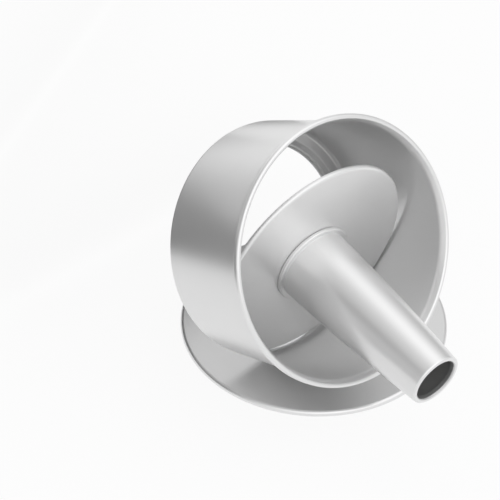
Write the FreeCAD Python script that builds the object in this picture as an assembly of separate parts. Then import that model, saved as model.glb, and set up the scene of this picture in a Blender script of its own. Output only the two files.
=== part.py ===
"""Angel food cake pan, taken apart: a tapered ring with a flared rim and a stepped floor ledge,
a floor plate with a chimney tube crimped through it, and a flat base plate under them.

Millimetres, +Z up, origin under the middle of the base plate, mouth of the ring towards -Y.
Every piece is spun sheet metal, so each is the revolution of one bent sheet section.
"""
import FreeCAD, Part
import math
import os

from FreeCAD import Placement, Rotation, Vector

# Ring: flared and turned-over rim, wall and floor ledge, spun from one sheet
rim_radius = 100.0
ring_height = 99.1
ring_sheet = 1.2
flare_angle = 30.0
flare_depth = 4.4
flare_bend = 9.0
crest_bend = 1.4
skirt_depth = 4.7
skirt_bend = 1.4
skirt_return = 3.0
wall_draft = 5.6
floor_bend_radius = 3.9
ledge_width = 10.0
step_width = 3.0
step_drop = 2.4
lip_width = 2.6
lip_turn_down = 2.6
fold_radius = 1.5

# Floor plate: flat disc with a turned-down edge and a hole for the tube
plate_sheet = 1.2
plate_edge_height = 3.6
plate_edge_bend = 1.7
plate_play = 1.9

# Chimney tube: tapered, slightly bellied, with a foot bead, a crimp below and a rolled tip
tube_sheet = 1.0
tube_height = 139.0
tube_foot_radius = 29.3
tube_tip_radius = 21.1
tube_belly = 1.6
belly_share = 0.7
tip_roll_radius = 1.95
tip_roll_share = 0.95
tip_roll_depth = 4.0
foot_bead_reach = 3.7
foot_bead_height = 3.4
neck_inset = 1.9
crimp_flange = 3.6
crimp_bend = 0.75
crimp_gap = 0.05

# Base plate: flat disc with a turned-down edge
base_radius = 105.0
base_height = 4.0
base_sheet = 1.2
base_edge_bend = 2.2

# How the loose pieces lie
seat_gap = 0.3
ring_tilt = 26.4
ring_shift = Vector(-27.8, 29.1, 0)
lean_angle = 33.6
lean_yaw = -2.7
side_share = 0.23

shortest_edge = 1e-6
edge_samples = 180
settle_steps = 40


def sheet_side(points, offset):
    """Edges along one face of a bent sheet: its middle line moved to the left by offset.

    Each point is (radius, height, bend): a corner of the middle line and the radius of its bend.
    """
    corners = [Vector(radius, 0, height) for radius, height, bend in points]
    runs = [(end - start).normalize() for start, end in zip(corners, corners[1:])]
    lefts = [Vector(-run.z, 0, run.x) for run in runs]
    edges = []
    here = corners[0] + lefts[0] * offset
    for index in range(1, len(corners) - 1):
        before, after = runs[index - 1], runs[index]
        bend = points[index][2]
        turn = math.atan2(before.x * after.z - before.z * after.x, before.dot(after))
        sense = math.copysign(1.0, turn)
        reach = bend * math.tan(abs(turn) / 2)
        bend_start = corners[index] - before * reach
        bend_end = corners[index] + after * reach
        centre = bend_start + lefts[index - 1] * (sense * bend)
        to_corner = (corners[index] - centre).normalize()
        arc_start = bend_start + lefts[index - 1] * offset
        arc_middle = centre + to_corner * (bend - sense * offset)
        arc_end = bend_end + lefts[index] * offset
        if (arc_start - here).Length > shortest_edge:
            edges.append(Part.LineSegment(here, arc_start).toShape())
        edges.append(Part.Arc(arc_start, arc_middle, arc_end).toShape())
        here = arc_end
    last = corners[-1] + lefts[-1] * offset
    edges.append(Part.LineSegment(here, last).toShape())
    return edges


def spun_sheet(points, sheet):
    """Solid of a sheet of the given thickness, bent along the points and spun about Z."""
    left = sheet_side(points, sheet / 2)
    right = sheet_side(points, -sheet / 2)
    caps = []
    for end in (0, -1):
        ends = (left[end].Vertexes[end].Point, right[end].Vertexes[end].Point)
        caps.append(Part.LineSegment(*ends).toShape())
    outline = Part.Wire(Part.sortEdges(left + right + caps)[0])
    return Part.Face(outline).revolve(Vector(0, 0, 0), Vector(0, 0, 1), 360)


# Sizes of the ring's middle line, from the inside out
half_ring = ring_sheet / 2
rim_outside = rim_radius - half_ring
rim_crest = ring_height - half_ring
flare_slope = math.tan(math.radians(flare_angle))
crest_inside = rim_outside - crest_bend * (1 + math.tan(math.radians(90 - flare_angle) / 2))
flare_foot = rim_crest - flare_depth
mouth_radius = crest_inside - flare_depth * flare_slope
foot_radius = mouth_radius - wall_draft
wall_angle = math.atan2(wall_draft, flare_foot - half_ring)
foot_inside = foot_radius - half_ring
ledge_top = ring_sheet
ledge_inside = foot_inside - ledge_width
lip_height = half_ring - step_drop
lip_outside = ledge_inside - step_width
lip_inside = lip_outside - lip_width
skirt_bottom = rim_crest - skirt_depth


def make_ring():
    """Ring standing on Z = 0: lip, step, ledge, wall, flare and the rim's turned-down skirt."""
    points = [
        (lip_inside, lip_height - lip_turn_down, 0),
        (lip_inside, lip_height, fold_radius),
        (lip_outside, lip_height, fold_radius),
        (ledge_inside, half_ring, fold_radius),
        (foot_radius, half_ring, floor_bend_radius),
        (mouth_radius, flare_foot, flare_bend),
        (crest_inside, rim_crest, crest_bend),
        (rim_outside, rim_crest, crest_bend),
        (rim_outside, skirt_bottom, skirt_bend),
        (rim_outside - skirt_return, skirt_bottom, 0),
    ]
    return spun_sheet(points, ring_sheet)


# Sizes of the floor plate and of the neck that goes through it
plate_radius = foot_inside - plate_play
neck_radius = tube_foot_radius - neck_inset
neck_hole_radius = neck_radius + crimp_bend + crimp_gap


def make_plate():
    """Floor plate with its top face on Z = 0, its edge turned down and the tube's hole in the middle."""
    middle = -plate_sheet / 2
    edge = plate_radius - plate_sheet / 2
    points = [
        (neck_hole_radius, middle, 0),
        (edge, middle, plate_edge_bend),
        (edge, -plate_edge_height, 0),
    ]
    return spun_sheet(points, plate_sheet)


def make_tube():
    """Chimney tube on the floor plate's top face: crimp under the plate, foot bead, wall and rolled tip."""
    half = tube_sheet / 2
    under = -plate_sheet - crimp_gap - half
    over = crimp_gap + half
    foot_height = over + foot_bead_height - tube_sheet
    foot = tube_foot_radius - half
    bead = foot + foot_bead_reach
    tip = tube_tip_radius - half
    roll = tip_roll_radius - half
    crest = tube_height - half
    belly = (foot + tip) / 2 + tube_belly
    half_rise = (crest - foot_height) / 2
    belly_turn = math.atan2(belly - tip, half_rise) - math.atan2(foot - belly, half_rise)
    belly_bend = belly_share * half_rise / math.tan(belly_turn / 2)
    points = [
        (neck_radius + crimp_flange, under, 0),
        (neck_radius, under, crimp_bend),
        (neck_radius, over, crimp_bend),
        (bead, over, crimp_bend),
        (bead, foot_height, crimp_bend),
        (foot, foot_height, crimp_bend),
        (belly, foot_height + half_rise, belly_bend),
        (tip, crest, roll * tip_roll_share),
        (tip - 2 * roll, crest, roll * tip_roll_share),
        (tip - 2 * roll, crest - tip_roll_depth, 0),
    ]
    return spun_sheet(points, tube_sheet)


def make_base():
    """Base plate standing on Z = 0: flat top with a turned-down edge."""
    top = base_height - base_sheet / 2
    edge = base_radius - base_sheet / 2
    points = [
        (0, top, 0),
        (edge, top, base_edge_bend),
        (edge, 0, 0),
    ]
    return spun_sheet(points, base_sheet)


def ring_place():
    """Ring tilted mouth up, its floor bend standing just over the base plate."""
    tilt = math.radians(ring_tilt)
    outer_bend = floor_bend_radius + half_ring
    bend_centre = foot_radius - floor_bend_radius * math.tan((math.pi / 2 - wall_angle) / 2)
    lowest = outer_bend * math.sin(tilt) - bend_centre * math.cos(tilt) - outer_bend
    lift = base_height + seat_gap - lowest
    return Placement(ring_shift + Vector(0, 0, lift), Rotation(Vector(1, 0, 0), 90 - ring_tilt))


def wall_room(centre, turn):
    """Least gap between the floor plate's edge and the ring's wall, with the plate at that place."""
    gaps = []
    for step in range(edge_samples):
        angle = 2 * math.pi * step / edge_samples
        for below in (0, plate_edge_height):
            rim = Vector(plate_radius * math.cos(angle), plate_radius * math.sin(angle), -below)
            spot = centre + turn.multVec(rim)
            wall = foot_inside + spot.z * math.tan(wall_angle)
            gaps.append(wall - math.hypot(spot.x, spot.y))
    return min(gaps)


def insert_place():
    """Floor plate and tube leaning in the ring.

    The plate's edge stands just over the ledge, and the plate has slid down until its edge is
    just short of the wall on both sides.
    """
    turn = Rotation(Vector(1, 0, 0), lean_angle) * Rotation(Vector(0, 1, 0), lean_yaw)
    axis = turn.multVec(Vector(0, 0, 1))
    below = plate_edge_height * axis.z + plate_radius * math.sqrt(1 - axis.z ** 2)
    height = ledge_top + seat_gap + below
    side_room = foot_inside + height * math.tan(wall_angle) - plate_radius
    side = -side_share * side_room
    least, most = 0.0, plate_radius
    for step in range(settle_steps):
        drop = (least + most) / 2
        if wall_room(Vector(side, -drop, height), turn) > seat_gap:
            least = drop
        else:
            most = drop
    return ring_place() * Placement(Vector(side, -least, height), turn)


pieces = {
    "outer_ring": (make_ring, ring_place()),
    "floor_plate": (make_plate, insert_place()),
    "chimney_tube": (make_tube, insert_place()),
    "base_plate": (make_base, Placement()),
}

os.makedirs("parts", exist_ok=True)
for name, (make, place) in pieces.items():
    solid = make()
    solid.Placement = place
    solid.exportStep("parts/" + name + ".step")
    print(name, "valid", solid.isValid(), "volume", round(solid.Volume, 1), "box", solid.BoundBox)
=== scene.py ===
"""Dresses a taken-apart angel food cake pan: four pieces of spun, satin anodised aluminium.

A ring with a flared rim stands tilted on a flat base plate, and a floor plate with a chimney tube
leans in the ring. Every piece is one bent sheet section spun about its own Z axis. Sections and
finishes are in millimetres, places and the studio in metres.
"""

import logging
import math
from dataclasses import dataclass
from enum import Enum
from typing import Any, Mapping, Optional, Sequence, Union

import bpy
from mathutils import Euler, Matrix, Vector

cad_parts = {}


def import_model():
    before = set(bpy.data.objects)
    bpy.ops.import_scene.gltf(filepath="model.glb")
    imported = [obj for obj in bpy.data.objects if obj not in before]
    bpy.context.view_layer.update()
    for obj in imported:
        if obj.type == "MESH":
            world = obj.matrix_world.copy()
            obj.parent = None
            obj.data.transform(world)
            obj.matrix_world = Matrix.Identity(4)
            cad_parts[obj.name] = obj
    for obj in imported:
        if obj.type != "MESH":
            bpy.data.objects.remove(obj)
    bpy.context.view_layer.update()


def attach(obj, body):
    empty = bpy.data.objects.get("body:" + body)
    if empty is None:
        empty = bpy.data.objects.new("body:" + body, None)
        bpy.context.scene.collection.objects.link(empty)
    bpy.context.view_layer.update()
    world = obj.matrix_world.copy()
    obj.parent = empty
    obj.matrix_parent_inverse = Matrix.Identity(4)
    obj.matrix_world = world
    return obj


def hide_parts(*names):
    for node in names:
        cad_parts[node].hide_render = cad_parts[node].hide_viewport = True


LOG = logging.getLogger("cake_pan")
MILLIMETRE = 0.001
NOISE_MIDDLE = 0.5
SQUARE = ((-1, -1), (1, -1), (1, 1), (-1, 1))
WHITE = (1.0, 1.0, 1.0)
SILVER = (0.80, 0.80, 0.80)
DULL_SILVER = (0.74, 0.74, 0.74)
CARD_GREY = (0.20, 0.20, 0.20)

# The Mix node's colour sockets go by number, because it has several sockets of each name
MIX_SHARE = 0
MIX_FIRST = 6
MIX_SECOND = 7
MIX_RESULT = 2

Triple = tuple[float, float, float]


class Place(Enum):
    """Which measure of a spun piece a burnished zone follows."""

    RADIUS = "radius"
    HEIGHT = "height"


@dataclass(frozen=True)
class Corner:
    """Corner of a bent sheet's middle line: its place and the radius of its bend."""

    radius: float
    height: float
    bend: float = 0.0

    def point(self) -> Vector:
        """The corner as a flat vector of radius and height."""
        return Vector((self.radius, self.height))


@dataclass(frozen=True)
class SkinPoint:
    """Point on a section's skin with the way that the skin faces there."""

    place: Vector
    facing: Vector


def left_of(run: Vector) -> Vector:
    """The vector a quarter turn to the left of run."""
    return Vector((-run.y, run.x))


@dataclass(frozen=True)
class SheetSection:
    """Section of a bent sheet: a middle line of straight runs and round bends, with thickness.

    Attributes:
        corners: The middle line's corners, from one cut end to the other.
        sheet: Thickness of the sheet.
        facet_angle: Greatest turn of one facet of a bend, in radians.
        facet_length: Greatest length of one facet of a bend.
        fewest_facets: Facets that the slightest bend gets.
        deburr: Radius of a cut end's rounded edges, as a share of the thickness.
        deburr_facets: Facets of each of these edges.
    """

    corners: tuple[Corner, ...]
    sheet: float
    facet_angle: float = math.radians(7.5)
    facet_length: float = 8.0
    fewest_facets: int = 2
    deburr: float = 0.22
    deburr_facets: int = 3

    def side(self, offset: float) -> list[SkinPoint]:
        """Points along one face of the sheet.

        Args:
            offset: Distance of the face from the middle line, positive to the left of it.

        Returns:
            The face's points from the first corner to the last.
        """
        spots = [corner.point() for corner in self.corners]
        runs = [(end - start).normalized() for start, end in zip(spots, spots[1:])]
        lefts = [left_of(run) for run in runs]
        outward = math.copysign(1.0, offset)
        skin = [SkinPoint(spots[0] + lefts[0] * offset, lefts[0] * outward)]
        for index in range(1, len(spots) - 1):
            before, after = runs[index - 1], runs[index]
            bend = self.corners[index].bend
            turn = math.atan2(before.x * after.y - before.y * after.x, before.dot(after))
            sense = math.copysign(1.0, turn)
            reach = bend * math.tan(abs(turn) / 2)
            centre = spots[index] - before * reach + lefts[index - 1] * (sense * bend)
            steps = self.facets(turn, bend)
            for step in range(steps + 1):
                swing = Matrix.Rotation(turn * step / steps, 2)
                left = swing @ lefts[index - 1]
                skin.append(SkinPoint(centre + left * (offset - sense * bend), left * outward))
        skin.append(SkinPoint(spots[-1] + lefts[-1] * offset, lefts[-1] * outward))
        return skin

    def facets(self, turn: float, bend: float) -> int:
        """Counts the facets that keep a bend smooth, both in angle and in length.

        Args:
            turn: The bend's turn, in radians.
            bend: Its radius.

        Returns:
            The number of facets.
        """
        by_angle = math.ceil(abs(turn) / self.facet_angle)
        by_length = math.ceil(abs(turn) * bend / self.facet_length)
        return max(self.fewest_facets, by_angle, by_length)

    def cut_edge(self, last: SkinPoint, first: SkinPoint) -> list[SkinPoint]:
        """Deburred edge across the sheet's cut end.

        Args:
            last: Where the outline reaches the cut.
            first: Where it goes on along the other face.

        Returns:
            The points of the two small rounds, in the outline's order.
        """
        across = (first.place - last.place).normalized()
        outward = left_of(across)
        rounding = self.deburr * self.sheet
        rounds = ((last, last.facing, outward, 1), (first, outward, first.facing, -1))
        points = []
        for end, start_face, end_face, way in rounds:
            centre = end.place - outward * rounding + across * (way * rounding)
            for step in range(self.deburr_facets + 1):
                share = step / self.deburr_facets * math.pi / 2
                facing = start_face * math.cos(share) + end_face * math.sin(share)
                points.append(SkinPoint(centre + facing * rounding, facing))
        return points

    def meets_axis(self) -> bool:
        """Whether the sheet starts on the axis, as a disc with no hole does."""
        return self.corners[0].radius == 0

    def outline(self) -> list[SkinPoint]:
        """Goes round the section's whole skin.

        Returns:
            The skin's points, along the left face and back along the right one.
        """
        left = self.side(self.sheet / 2)
        right = list(reversed(self.side(-self.sheet / 2)))
        far_end = self.cut_edge(left[-1], right[0])
        if self.meets_axis():
            return left[:-1] + far_end + right[1:]
        near_end = self.cut_edge(right[-1], left[0])
        return left[1:-1] + far_end + right[1:-1] + near_end


def new_object(
    name: str, points: Sequence[Triple], faces: Sequence[Sequence[int]]
) -> bpy.types.Object:
    """Makes a mesh object.

    Args:
        name: Name of the object and of its mesh.
        points: The mesh's points, in metres.
        faces: Its faces, as rows of point numbers.

    Returns:
        The new object, at the origin and linked to the scene.
    """
    mesh = bpy.data.meshes.new(name)
    mesh.from_pydata(points, [], faces)
    thing = bpy.data.objects.new(name, mesh)
    bpy.context.scene.collection.objects.link(thing)
    return thing


@dataclass(frozen=True)
class Lathe:
    """Spins a section about Z into a smooth mesh.

    Attributes:
        steps: Facets round the axis.
        pole_radius: Radius under which a row of points is one point on the axis.
    """

    steps: int = 288
    pole_radius: float = 1e-9

    def spin(self, name: str, section: SheetSection) -> bpy.types.Object:
        """Makes an object from a section.

        Args:
            name: The piece's name.
            section: The bent sheet to spin.

        Returns:
            The new object, at the origin and not yet on a body.
        """
        points: list[Triple] = []
        facings: list[Triple] = []
        rows: list[list[int]] = []
        for skin in section.outline():
            radius = skin.place.x * MILLIMETRE
            height = skin.place.y * MILLIMETRE
            on_axis = skin.place.x < self.pole_radius
            row = []
            for step in range(1 if on_axis else self.steps):
                angle = math.tau * step / self.steps
                east, north = math.cos(angle), math.sin(angle)
                row.append(len(points))
                points.append((radius * east, radius * north, height))
                facings.append((skin.facing.x * east, skin.facing.x * north, skin.facing.y))
            rows.append(row)
        pairs = list(zip(rows, rows[1:]))
        if not section.meets_axis():
            pairs.append((rows[-1], rows[0]))
        faces = [face for first, second in pairs for face in self.band(first, second)]
        piece = new_object(name, points, faces)
        piece.data.shade_smooth()
        piece.data.normals_split_custom_set_from_vertices(facings)
        piece.data.update()
        return piece

    def band(self, first: Sequence[int], second: Sequence[int]) -> list[tuple[int, ...]]:
        """Closes the band between two neighbouring rows, where a row of one point is a pole.

        Args:
            first: Point numbers of the first row.
            second: Point numbers of the next row.

        Returns:
            The band's faces.
        """
        faces: list[tuple[int, ...]] = []
        for step in range(self.steps):
            after = (step + 1) % self.steps
            if len(first) == 1:
                faces.append((first[0], second[step], second[after]))
            elif len(second) == 1:
                faces.append((first[after], first[step], second[0]))
            else:
                faces.append((first[after], first[step], second[step], second[after]))
        return faces


Term = Union["Shade", float]


class Shade:
    """Wraps a node's output socket, so that shader maths reads as Python expressions."""

    def __init__(self, bench: "NodeBench", socket: Optional[bpy.types.NodeSocket]) -> None:
        """Keeps the bench that adds nodes and the socket, which a closing node doesn't have."""
        self.bench = bench
        self.socket = socket

    def maths(self, operation: str, *values: Term) -> "Shade":
        """Adds a Math node.

        Args:
            operation: The Math node's operation.
            values: Its inputs in order.

        Returns:
            The node's result.
        """
        inputs = dict(enumerate(values))
        return self.bench.add("ShaderNodeMath", {"operation": operation}, inputs)

    def __add__(self, other: Term) -> "Shade":
        """Sum."""
        return self.maths("ADD", self, other)

    def __radd__(self, other: float) -> "Shade":
        """Sum with a number on the left."""
        return self.maths("ADD", other, self)

    def __sub__(self, other: Term) -> "Shade":
        """Difference."""
        return self.maths("SUBTRACT", self, other)

    def __rsub__(self, other: float) -> "Shade":
        """Difference from a number on the left."""
        return self.maths("SUBTRACT", other, self)

    def __mul__(self, other: Term) -> "Shade":
        """Product."""
        return self.maths("MULTIPLY", self, other)

    def __rmul__(self, other: float) -> "Shade":
        """Product with a number on the left."""
        return self.maths("MULTIPLY", other, self)

    def __truediv__(self, other: Term) -> "Shade":
        """Quotient."""
        return self.maths("DIVIDE", self, other)

    def __rtruediv__(self, other: float) -> "Shade":
        """Quotient of a number on the left."""
        return self.maths("DIVIDE", other, self)

    def __pow__(self, other: Term) -> "Shade":
        """Power."""
        return self.maths("POWER", self, other)

    def __rpow__(self, other: float) -> "Shade":
        """Power of a number on the left."""
        return self.maths("POWER", other, self)

    def at_least(self, other: Term) -> "Shade":
        """The larger of two values."""
        return self.maths("MAXIMUM", self, other)

    def root(self) -> "Shade":
        """Square root."""
        return self.maths("SQRT", self)


Value = Union[Shade, float, Sequence[float]]


class NodeBench:
    """Adds nodes to one node tree."""

    def __init__(self, tree: bpy.types.NodeTree) -> None:
        """Empties the tree and keeps it."""
        self.tree = tree
        tree.nodes.clear()

    def add(
        self,
        kind: str,
        settings: Optional[Mapping[str, Any]] = None,
        inputs: Optional[Mapping[Union[int, str], Value]] = None,
        output: Union[int, str] = 0,
    ) -> Shade:
        """Adds one node.

        Args:
            kind: The node's type.
            settings: Its properties, set first.
            inputs: Values or links of its sockets, by name or number.
            output: The output that the result stands for.

        Returns:
            The chosen output, or an empty shade for a node that closes the tree.
        """
        node = self.tree.nodes.new(kind)
        for name, value in (settings or {}).items():
            setattr(node, name, value)
        for key, value in (inputs or {}).items():
            if isinstance(value, Shade):
                self.tree.links.new(value.socket, node.inputs[key])
            else:
                node.inputs[key].default_value = value
        return Shade(self, node.outputs[output] if len(node.outputs) else None)

    def other(self, shade: Shade, output: Union[int, str]) -> Shade:
        """Another output of the node that shade comes from."""
        return Shade(self, shade.socket.node.outputs[output])


def new_material(name: str) -> tuple[bpy.types.Material, NodeBench]:
    """Makes an empty material.

    Args:
        name: The material's name.

    Returns:
        The material and the bench that adds its nodes.
    """
    material = bpy.data.materials.new(name)
    material.use_nodes = True
    return material, NodeBench(material.node_tree)


def opaque(colour: Triple) -> tuple[float, float, float, float]:
    """The colour with full alpha, as a socket takes it."""
    return (*colour, 1.0)


@dataclass(frozen=True)
class Burnish:
    """Zone that rubbing has left brighter: what it follows, where it starts and where it is full."""

    follows: Place
    start: float
    full: float


@dataclass(frozen=True)
class SatinAluminium:
    """Finish of a spun aluminium piece: bare metal under a matt anodised skin.

    Attributes:
        name: The material's name.
        colour: Colour of the metal and of its skin.
        metal: Share of the light that mirrors as metal, where the skin scatters the rest.
        roughness: How blurred the mirroring is.
        burnishes: Zones that rubbing has left brighter.
        inside_shade: Share of the colour that is left on skin that faces the axis, as painted shade.
        inside_shade_start: Cosine of the skin's facing to the way outward where the painted shade
            starts.
        inside_shade_full: The same cosine where the painted shade is full.
        burnish_colour: Colour of the burnished zones.
        burnish_roughness: Roughness of the burnished zones.
        ring_pitch: Usual distance between turning marks.
        ring_roughness: How far the turning marks change the roughness.
        cloud_size: Usual size of the soft clouds in the skin.
        cloud_share: Share of the colour that the darkest cloud takes away.
    """

    name: str
    colour: Triple
    metal: float
    roughness: float
    burnishes: tuple[Burnish, ...] = ()
    inside_shade: float = 1.0
    inside_shade_start: float = -0.3
    inside_shade_full: float = -0.8
    burnish_colour: Triple = SILVER
    burnish_roughness: float = 0.30
    ring_pitch: float = 1.6
    ring_roughness: float = 0.03
    cloud_size: float = 38.0
    cloud_share: float = 0.03

    def material(self) -> bpy.types.Material:
        """Mixes the finish.

        Returns:
            A material of nodes that read the piece's own coordinates.
        """
        material, bench = new_material(self.name)
        spot = bench.add("ShaderNodeTexCoord", output="Object")
        east = bench.add("ShaderNodeSeparateXYZ", inputs={0: spot})
        north = bench.other(east, "Y")
        height = bench.other(east, "Z") * (1 / MILLIMETRE)
        distance = (east * east + north * north).root()
        radius = distance * (1 / MILLIMETRE)
        measures = {Place.RADIUS: radius, Place.HEIGHT: height}
        dull = tuple(channel * (1 - self.cloud_share) for channel in self.colour)
        colour = self.mix(bench, self.clouds(bench, spot), dull, self.colour)
        rings = self.rings(bench, radius, height)
        roughness = (rings - NOISE_MIDDLE) * self.ring_roughness + self.roughness
        for burnish in self.burnishes:
            mask = self.ramp(bench, measures[burnish.follows], burnish.start, burnish.full)
            colour = self.mix(bench, mask, colour, self.burnish_colour)
            roughness = roughness * (1 - mask) + mask * self.burnish_roughness
        # Painted shade: skin that faces the piece's axis, such as a tube's inner face, gets a darker
        # colour.
        if self.inside_shade < 1:
            outward = self.outward(bench, east, north) / distance
            mask = self.ramp(bench, outward, self.inside_shade_start, self.inside_shade_full)
            painted_shade_colour = tuple(channel * self.inside_shade for channel in self.colour)
            colour = self.mix(bench, mask, colour, painted_shade_colour)
        shader = bench.add(
            "ShaderNodeBsdfPrincipled",
            inputs={"Base Color": colour, "Metallic": self.metal, "Roughness": roughness},
        )
        bench.add("ShaderNodeOutputMaterial", inputs={"Surface": shader})
        return material

    def rings(self, bench: NodeBench, radius: Shade, height: Shade) -> Shade:
        """Turning marks: noise that changes with radius and height but not round the axis."""
        across = bench.add("ShaderNodeCombineXYZ", inputs={"X": radius, "Z": height})
        return bench.add("ShaderNodeTexNoise", inputs={"Vector": across, "Scale": 1 / self.ring_pitch})

    def clouds(self, bench: NodeBench, spot: Shade) -> Shade:
        """Soft even noise that keeps the metal from looking painted."""
        scale = 1 / (self.cloud_size * MILLIMETRE)
        return bench.add("ShaderNodeTexNoise", inputs={"Vector": spot, "Scale": scale})

    @staticmethod
    def outward(bench: NodeBench, east: Shade, north: Shade) -> Shade:
        """Measures how far the skin faces away from the piece's axis.

        Args:
            bench: The bench that adds the nodes.
            east: How far the point lies along X.
            north: How far it lies along Y.

        Returns:
            The facing's part along the way from the axis to the point, times that way's length.
        """
        normal = bench.add("ShaderNodeTexCoord", output="Normal")
        facing = bench.add("ShaderNodeSeparateXYZ", inputs={0: normal})
        return facing * east + bench.other(facing, "Y") * north

    @staticmethod
    def mix(
        bench: NodeBench, share: Shade, first: Union[Shade, Triple], second: Union[Shade, Triple]
    ) -> Shade:
        """Mixes two colours.

        Args:
            bench: The bench that adds the node.
            share: How much of the second colour there is.
            first: The colour at nought.
            second: The colour at one.

        Returns:
            The mixed colour.
        """
        colours = [value if isinstance(value, Shade) else opaque(value) for value in (first, second)]
        inputs = {MIX_SHARE: share, MIX_FIRST: colours[0], MIX_SECOND: colours[1]}
        return bench.add("ShaderNodeMix", {"data_type": "RGBA"}, inputs, MIX_RESULT)

    @staticmethod
    def ramp(bench: NodeBench, measure: Shade, start: float, full: float) -> Shade:
        """Masks a zone with a smooth edge.

        Args:
            bench: The bench that adds the node.
            measure: What the mask follows.
            start: The measure at which the mask leaves nought.
            full: The measure at which it reaches one.

        Returns:
            The mask.
        """
        settings = {"interpolation_type": "SMOOTHSTEP"}
        inputs = {"Value": measure, "From Min": start, "From Max": full}
        return bench.add("ShaderNodeMapRange", settings, inputs)


@dataclass
class SpunPiece:
    """One spun sheet piece of the pan.

    Attributes:
        name: The piece's name in the scene.
        node: The CAD node that it stands for.
        body: The body that it rides on.
        slot: Name for its material slot, which is not used.
        place: Its place in the shared frame.
        finish: Its finish.
    """

    name: str
    node: str
    body: str
    slot: str
    place: Matrix
    finish: SatinAluminium

    def section(self) -> SheetSection:
        """The piece's bent sheet section, which each kind of piece gives."""
        raise NotImplementedError

    def build(self, lathe: Lathe) -> bpy.types.Object:
        """Spins the piece, puts it in its place and dresses it.

        Args:
            lathe: The lathe that spins the section.

        Returns:
            The finished piece, riding on its body in place of its CAD node.
        """
        piece = lathe.spin(self.name, self.section())
        piece.matrix_world = self.place
        piece.data.materials.append(self.finish.material())
        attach(piece, self.body)
        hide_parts(self.node)
        return piece


@dataclass
class OuterRing(SpunPiece):
    """Ring from one sheet: turned-down lip, step, floor ledge, drafted wall, flare and skirt."""

    rim_radius: float = 100.0
    ring_height: float = 99.1
    sheet: float = 1.2
    flare_angle: float = 30.0
    flare_depth: float = 4.4
    flare_bend: float = 9.0
    crest_bend: float = 1.4
    skirt_depth: float = 4.7
    skirt_bend: float = 1.4
    skirt_return: float = 3.0
    wall_draft: float = 5.6
    floor_bend_radius: float = 3.9
    ledge_width: float = 10.0
    step_width: float = 3.0
    step_drop: float = 2.4
    lip_width: float = 2.6
    lip_turn_down: float = 2.6
    fold_radius: float = 1.5

    def section(self) -> SheetSection:
        """Bends the ring's sheet.

        Returns:
            The section from the lip, out and up to the end of the rim's skirt.
        """
        half = self.sheet / 2
        crest = self.ring_height - half
        rim_outside = self.rim_radius - half
        crest_turn = math.radians(90 - self.flare_angle)
        crest_inside = rim_outside - self.crest_bend * (1 + math.tan(crest_turn / 2))
        flare_foot = crest - self.flare_depth
        mouth = crest_inside - self.flare_depth * math.tan(math.radians(self.flare_angle))
        foot = mouth - self.wall_draft
        skirt_bottom = crest - self.skirt_depth
        ledge_inside = foot - half - self.ledge_width
        lip_outside = ledge_inside - self.step_width
        lip_inside = lip_outside - self.lip_width
        lip_height = half - self.step_drop
        corners = (
            Corner(lip_inside, lip_height - self.lip_turn_down),
            Corner(lip_inside, lip_height, self.fold_radius),
            Corner(lip_outside, lip_height, self.fold_radius),
            Corner(ledge_inside, half, self.fold_radius),
            Corner(foot, half, self.floor_bend_radius),
            Corner(mouth, flare_foot, self.flare_bend),
            Corner(crest_inside, crest, self.crest_bend),
            Corner(rim_outside, crest, self.crest_bend),
            Corner(rim_outside, skirt_bottom, self.skirt_bend),
            Corner(rim_outside - self.skirt_return, skirt_bottom),
        )
        return SheetSection(corners, self.sheet)


@dataclass
class FloorPlate(SpunPiece):
    """Loose floor: a flat disc with a turned-down edge and a hole for the tube."""

    plate_radius: float = 86.551
    neck_hole_radius: float = 28.2
    sheet: float = 1.2
    edge_height: float = 3.6
    edge_bend: float = 1.7

    def section(self) -> SheetSection:
        """Bends the plate's sheet, with its top face at nought.

        Returns:
            The section from the hole to the lower end of the edge.
        """
        middle = -self.sheet / 2
        edge = self.plate_radius - self.sheet / 2
        corners = (
            Corner(self.neck_hole_radius, middle),
            Corner(edge, middle, self.edge_bend),
            Corner(edge, -self.edge_height),
        )
        return SheetSection(corners, self.sheet)


@dataclass
class ChimneyTube(SpunPiece):
    """Chimney tube: crimp under the floor plate, foot bead, bellied wall and rolled tip."""

    sheet: float = 1.0
    plate_sheet: float = 1.2
    height: float = 139.0
    foot_radius: float = 29.3
    tip_radius: float = 21.1
    belly: float = 1.6
    belly_share: float = 0.7
    tip_roll_radius: float = 1.95
    tip_roll_depth: float = 4.0
    roll_share: float = 0.95
    foot_bead_reach: float = 3.7
    foot_bead_height: float = 3.4
    neck_radius: float = 27.4
    crimp_flange: float = 3.6
    crimp_bend: float = 0.75
    crimp_gap: float = 0.05

    def section(self) -> SheetSection:
        """Bends the tube's sheet, with the floor plate's top face at nought.

        Returns:
            The section from the crimp's edge up to the end of the rolled tip.
        """
        half = self.sheet / 2
        under = -self.plate_sheet - self.crimp_gap - half
        over = self.crimp_gap + half
        foot_height = over + self.foot_bead_height - self.sheet
        foot = self.foot_radius - half
        bead = foot + self.foot_bead_reach
        tip = self.tip_radius - half
        roll = self.tip_roll_radius - half
        crest = self.height - half
        belly = (foot + tip) / 2 + self.belly
        half_rise = (crest - foot_height) / 2
        turn = math.atan2(belly - tip, half_rise) - math.atan2(foot - belly, half_rise)
        belly_bend = self.belly_share * half_rise / math.tan(turn / 2)
        corners = (
            Corner(self.neck_radius + self.crimp_flange, under),
            Corner(self.neck_radius, under, self.crimp_bend),
            Corner(self.neck_radius, over, self.crimp_bend),
            Corner(bead, over, self.crimp_bend),
            Corner(bead, foot_height, self.crimp_bend),
            Corner(foot, foot_height, self.crimp_bend),
            Corner(belly, foot_height + half_rise, belly_bend),
            Corner(tip, crest, roll * self.roll_share),
            Corner(tip - 2 * roll, crest, roll * self.roll_share),
            Corner(tip - 2 * roll, crest - self.tip_roll_depth),
        )
        return SheetSection(corners, self.sheet)


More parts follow.
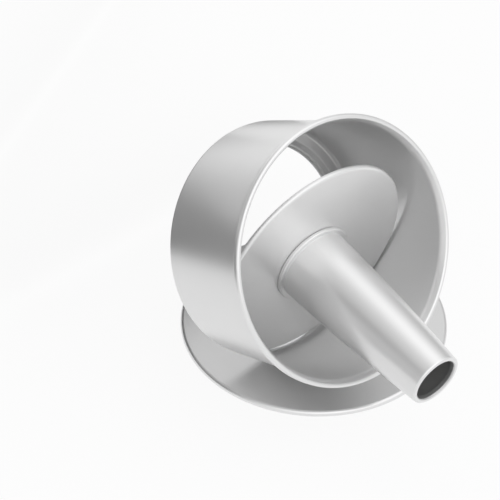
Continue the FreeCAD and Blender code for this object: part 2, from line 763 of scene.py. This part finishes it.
@dataclass
class BasePlate(SpunPiece):
    """Flat base plate with a turned-down edge that it stands on."""

    base_radius: float = 105.0
    height: float = 4.0
    sheet: float = 1.2
    edge_bend: float = 2.2

    def section(self) -> SheetSection:
        """Bends the plate's sheet.

        Returns:
            The section from the plate's middle to the foot of its edge.
        """
        top = self.height - self.sheet / 2
        edge = self.base_radius - self.sheet / 2
        corners = (Corner(0.0, top), Corner(edge, top, self.edge_bend), Corner(edge, 0.0))
        return SheetSection(corners, self.sheet)


@dataclass(frozen=True)
class Lay:
    """How the loose pieces lie on the base plate.

    Attributes:
        ring_centre: Middle of the ring's foot.
        ring_turn: Degrees that the ring's axis is tipped from upright towards its mouth.
        insert_centre: Middle of the floor plate's top face.
        lean: Degrees that the floor plate is tipped further than the ring.
        yaw: Degrees that it is turned sideways in that lean.
    """

    ring_centre: Triple = (-0.0278, 0.0291, 0.0832732)
    ring_turn: float = 63.6
    insert_centre: Triple = (-0.0289604, -0.0239199, 0.0945670)
    lean: float = 33.6
    yaw: float = -2.7

    def ring(self) -> Matrix:
        """Place of the ring, tilted mouth up."""
        turn = Euler((math.radians(self.ring_turn), 0, 0))
        return Matrix.LocRotScale(self.ring_centre, turn, None)

    def insert(self) -> Matrix:
        """Leans the floor plate and its tube in the ring.

        Returns:
            The place of the two.
        """
        tip = Matrix.Rotation(math.radians(self.ring_turn + self.lean), 4, "X")
        swing = Matrix.Rotation(math.radians(self.yaw), 4, "Y")
        return Matrix.Translation(self.insert_centre) @ tip @ swing

    def base(self) -> Matrix:
        """Place of the base plate, on the floor."""
        return Matrix.Identity(4)


@dataclass(frozen=True)
class Glow:
    """Soft patch of the studio's walls.

    Attributes:
        way: The way in which it lies from the pan.
        narrowness: How fast it fades away from there.
        strength: How much light it adds, or takes away below nought.
    """

    way: Triple
    narrowness: float
    strength: float


@dataclass(frozen=True)
class Card:
    """Grey studio card that the camera doesn't see and the metal mirrors.

    Attributes:
        name: Name of the card and of its paint.
        place: Its middle.
        azimuth: Degrees that it is turned about Z.
        size: Its width and height.
        colour: Colour of its paint.
        shades: Whether it also keeps light from what is behind it.
    """

    name: str
    place: Triple
    azimuth: float
    size: tuple[float, float]
    colour: Triple
    shades: bool


@dataclass(frozen=True)
class Studio:
    """White studio: pale floor, softly glowing walls, grey cards and the camera.

    Attributes:
        camera_place: Where the camera stands.
        camera_right: The way to the right in the picture.
        camera_down: The way down in the picture.
        camera_view: The way into the picture.
        camera_reach: Distance up to which the camera sees.
        lens: The camera's focal length, in millimetres.
        sensor: Width of its picture sensor, in millimetres.
        floor_size: Length of the floor's sides.
        floor_colour: Colour of the floor's paint.
        floor_glow: Share of white that camera and mirror rays see on the floor.
        floor_white: Strength at which the floor's glow is white.
        wall_level: Even light of the walls.
        glows: Their soft patches. The last is a dark one, which gives the tube its stripe.
        cards: The cards that darken what the ring mirrors.
    """

    camera_place: Triple = (-0.8194653, -0.8216406, 1.0726646)
    camera_right: Triple = (0.7465751, -0.6651531, 0.0140338)
    camera_down: Triple = (-0.4264825, -0.4946654, -0.7572442)
    camera_view: Triple = (0.5106254, 0.5593545, -0.6529811)
    camera_reach: float = 50.0
    lens: float = 144.0
    sensor: float = 36.0
    floor_size: float = 30.0
    floor_colour: Triple = (0.86, 0.86, 0.86)
    floor_glow: float = 0.90
    floor_white: float = 1.0
    wall_level: float = 0.43
    glows: tuple[Glow, ...] = (
        Glow((0.50, -0.50, 0.71), 4.0, 0.60),
        Glow((-0.10, -0.85, 0.52), 4.0, 0.66),
        Glow((0.20, 0.00, 0.98), 7.0, 0.36),
        Glow((0.45, 0.27, 0.85), 9.0, 0.45),
        Glow((0.35, 0.92, 0.20), 10.0, 0.75),
        Glow((-0.75, -0.43, 0.50), 4.0, 0.60),
        Glow((-0.73, 0.27, 0.62), 40.0, -0.45),
    )
    cards: tuple[Card, ...] = (
        Card("back_card", (-0.155, 0.280, 0.085), 119.0, (0.80, 0.14), CARD_GREY, shades=False),
        Card("foot_card", (-0.02, 0.17, 0.08), 90.0, (0.30, 0.10), CARD_GREY, shades=True),
    )

    def build(self) -> None:
        """Sets plain colours and adds the camera, the floor, the cards and the walls."""
        bpy.context.scene.view_settings.view_transform = "Standard"
        self.camera()
        self.floor()
        for card in self.cards:
            self.stand(card)
        self.walls()

    def camera(self) -> None:
        """Adds the camera at the photograph's viewpoint."""
        data = bpy.data.cameras.new("camera")
        data.lens = self.lens
        data.sensor_width = self.sensor
        data.clip_end = self.camera_reach
        camera = bpy.data.objects.new("camera", data)
        up = -Vector(self.camera_down)
        back = -Vector(self.camera_view)
        axes = Matrix((Vector(self.camera_right), up, back)).transposed()
        camera.matrix_world = Matrix.LocRotScale(self.camera_place, axes.to_quaternion(), None)
        bpy.context.scene.collection.objects.link(camera)
        bpy.context.scene.camera = camera

    def floor(self) -> None:
        """Adds the pale floor, which camera and mirror rays see as nearly white."""
        half = self.floor_size / 2
        corners = [(x * half, y * half, 0.0) for x, y in SQUARE]
        floor = new_object("floor", corners, [range(len(corners))])
        material, bench = new_material("floor_white")
        matt = bench.add("ShaderNodeBsdfDiffuse", inputs={"Color": opaque(self.floor_colour)})
        white = bench.add("ShaderNodeEmission", inputs={"Strength": self.floor_white})
        share = self.seen(bench) * self.floor_glow
        surface = bench.add("ShaderNodeMixShader", inputs={0: share, 1: matt, 2: white})
        bench.add("ShaderNodeOutputMaterial", inputs={"Surface": surface})
        floor.data.materials.append(material)

    def stand(self, card: Card) -> None:
        """Stands a card in the studio.

        Args:
            card: The card to stand.
        """
        across, up = (side / 2 for side in card.size)
        corners = [(0.0, y * across, z * up) for y, z in SQUARE]
        board = new_object(card.name, corners, [range(len(corners))])
        turn = Euler((0, 0, math.radians(card.azimuth)))
        board.matrix_world = Matrix.LocRotScale(card.place, turn, None)
        board.visible_camera = False
        board.visible_shadow = card.shades
        material, bench = new_material(card.name)
        matt = bench.add("ShaderNodeBsdfDiffuse", inputs={"Color": opaque(card.colour)})
        bench.add("ShaderNodeOutputMaterial", inputs={"Surface": matt})
        board.data.materials.append(material)

    @staticmethod
    def seen(bench: NodeBench) -> Shade:
        """Tells the rays that look at a surface from those that only carry its light.

        Args:
            bench: The bench that adds the nodes.

        Returns:
            One for rays of the camera, of mirrors and of glass, and otherwise nought.
        """
        looks = bench.add("ShaderNodeLightPath", output="Is Camera Ray")
        mirrored = bench.other(looks, "Is Glossy Ray")
        through = bench.other(looks, "Is Transmission Ray")
        return looks.at_least(mirrored).at_least(through)

    def walls(self) -> None:
        """Makes the world: even studio walls with soft glows."""
        world = bpy.data.worlds.new("studio")
        world.use_nodes = True
        bpy.context.scene.world = world
        bench = NodeBench(world.node_tree)
        way = bench.add("ShaderNodeTexCoord", output="Generated")
        level: Term = self.wall_level
        for glow in self.glows:
            inputs = {0: way, 1: tuple(Vector(glow.way).normalized())}
            facing = bench.add("ShaderNodeVectorMath", {"operation": "DOT_PRODUCT"}, inputs, "Value")
            level = facing.at_least(0.0) ** glow.narrowness * glow.strength + level
        light = bench.add("ShaderNodeBackground", inputs={"Color": opaque(WHITE), "Strength": level})
        bench.add("ShaderNodeOutputWorld", inputs={"Surface": light})


def pan_pieces(lay: Lay) -> tuple[SpunPiece, ...]:
    """Lists the pan's pieces from the lowest up, each with its finish.

    Args:
        lay: How the pieces lie.

    Returns:
        The pieces, not yet built.
    """
    base_finish = SatinAluminium(
        "base_satin",
        DULL_SILVER,
        metal=0.9,
        roughness=0.30,
        burnishes=(Burnish(Place.RADIUS, 103.0, 104.5),),
    )
    ring_finish = SatinAluminium(
        "ring_satin",
        SILVER,
        metal=0.75,
        roughness=0.31,
        burnishes=(Burnish(Place.HEIGHT, 96.0, 98.2),),
    )
    plate_finish = SatinAluminium(
        "plate_satin",
        SILVER,
        metal=0.6,
        roughness=0.30,
        burnishes=(Burnish(Place.RADIUS, 84.8, 86.0),),
    )
    tube_finish = SatinAluminium(
        "tube_satin",
        SILVER,
        metal=0.75,
        roughness=0.30,
        burnishes=(Burnish(Place.HEIGHT, 137.0, 138.5),),
        # Painted shade: the tube's inner face keeps only 0.65 of its colour.
        inside_shade=0.65,
    )
    base, ring, insert = lay.base(), lay.ring(), lay.insert()
    return (
        BasePlate("base_plate_spun", "base_plate", "base", "base_metal", base, base_finish),
        OuterRing("outer_ring_spun", "outer_ring", "ring", "ring_metal", ring, ring_finish),
        FloorPlate("floor_plate_spun", "floor_plate", "insert", "plate_metal", insert, plate_finish),
        ChimneyTube("chimney_tube_spun", "chimney_tube", "insert", "tube_metal", insert, tube_finish),
    )


def main() -> None:
    """Builds the studio and the pan's pieces in order."""
    logging.basicConfig(level=logging.INFO, format="%(name)s %(message)s")
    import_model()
    Studio().build()
    lathe = Lathe()
    for piece in pan_pieces(Lay()):
        made = piece.build(lathe)
        LOG.info("%s: %d faces on body %s", piece.name, len(made.data.polygons), piece.body)


if __name__ == "__main__":
    main()
